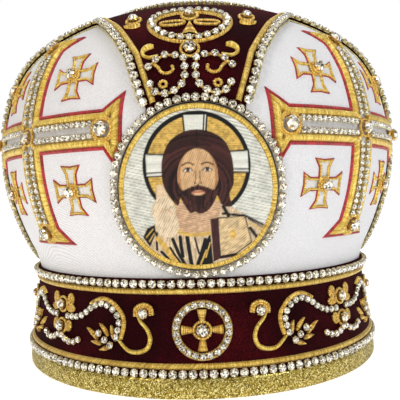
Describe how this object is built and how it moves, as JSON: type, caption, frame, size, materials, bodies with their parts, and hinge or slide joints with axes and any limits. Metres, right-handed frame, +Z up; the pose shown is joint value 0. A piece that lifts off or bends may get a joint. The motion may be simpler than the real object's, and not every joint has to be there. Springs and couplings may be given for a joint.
{
  "type": "bishop mitre",
  "caption": "Crown-shaped bishop's mitre: hollow white fabric dome with velvet headband and straps, rhinestone chains, gold crosses and oval medallions.",
  "frame": {"origin": "middle of the rim's flat underside", "axes": "+Z up through the crown, the front medallion towards -Y"},
  "size_m": [0.2224, 0.2224, 0.1938],
  "materials": {
    "white_fabric": "fine matt weave",
    "burgundy_velvet": "short pile velvet",
    "gold_lurex": "ribbed glitter knit",
    "gold_satin": "shiny satin stitch braid",
    "icon_fabric": "embroidered",
    "rhinestone": "cut crystals in small cups",
    "gold_embroidery": "padded metallic thread"
  },
  "bodies": {
    "root": {"band_ring_back": "gold_embroidery", "band_ring_front": "gold_embroidery", "band_ring_left": "gold_embroidery", "band_ring_right": "gold_embroidery", "base_band": "gold_lurex", "crown_gore_1": "white_fabric", "crown_gore_2": "white_fabric", "crown_gore_3": "white_fabric", "crown_gore_4": "white_fabric", "gore_chain_1": "rhinestone", "gore_chain_2": "rhinestone", "gore_chain_3": "rhinestone", "gore_chain_4": "rhinestone", "headband": "burgundy_velvet", "large_cross_1": "gold_embroidery", "large_cross_2": "gold_embroidery", "large_cross_3": "gold_embroidery", "large_cross_4": "gold_embroidery", "lower_braid": "gold_satin", "lower_chain": "rhinestone", "medallion_back": "icon_fabric", "medallion_chain_back": "rhinestone", "medallion_chain_front": "rhinestone", "medallion_chain_left": "rhinestone", "medallion_chain_right": "rhinestone", "medallion_chain_top": "rhinestone", "medallion_front": "icon_fabric", "medallion_left": "icon_fabric", "medallion_right": "icon_fabric", "medallion_top": "icon_fabric", "small_cross_1_1": "gold_embroidery", "small_cross_1_2": "gold_embroidery", "small_cross_1_3": "gold_embroidery", "small_cross_1_4": "gold_embroidery", "small_cross_2_1": "gold_embroidery", "small_cross_2_2": "gold_embroidery", "small_cross_2_3": "gold_embroidery", "small_cross_2_4": "gold_embroidery", "small_cross_3_1": "gold_embroidery", "small_cross_3_2": "gold_embroidery", "small_cross_3_3": "gold_embroidery", "small_cross_3_4": "gold_embroidery", "small_cross_4_1": "gold_embroidery", "small_cross_4_2": "gold_embroidery", "small_cross_4_3": "gold_embroidery", "small_cross_4_4": "gold_embroidery", "strap_cross_back": "gold_embroidery", "strap_cross_front": "gold_embroidery", "strap_cross_left": "gold_embroidery", "strap_cross_right": "gold_embroidery", "strap_ring_back": "gold_embroidery", "strap_ring_front": "gold_embroidery", "strap_ring_left": "gold_embroidery", "strap_ring_right": "gold_embroidery", "upper_braid": "gold_satin", "upper_chain": "rhinestone", "velvet_straps": "burgundy_velvet"}
  },
  "joints": []
}
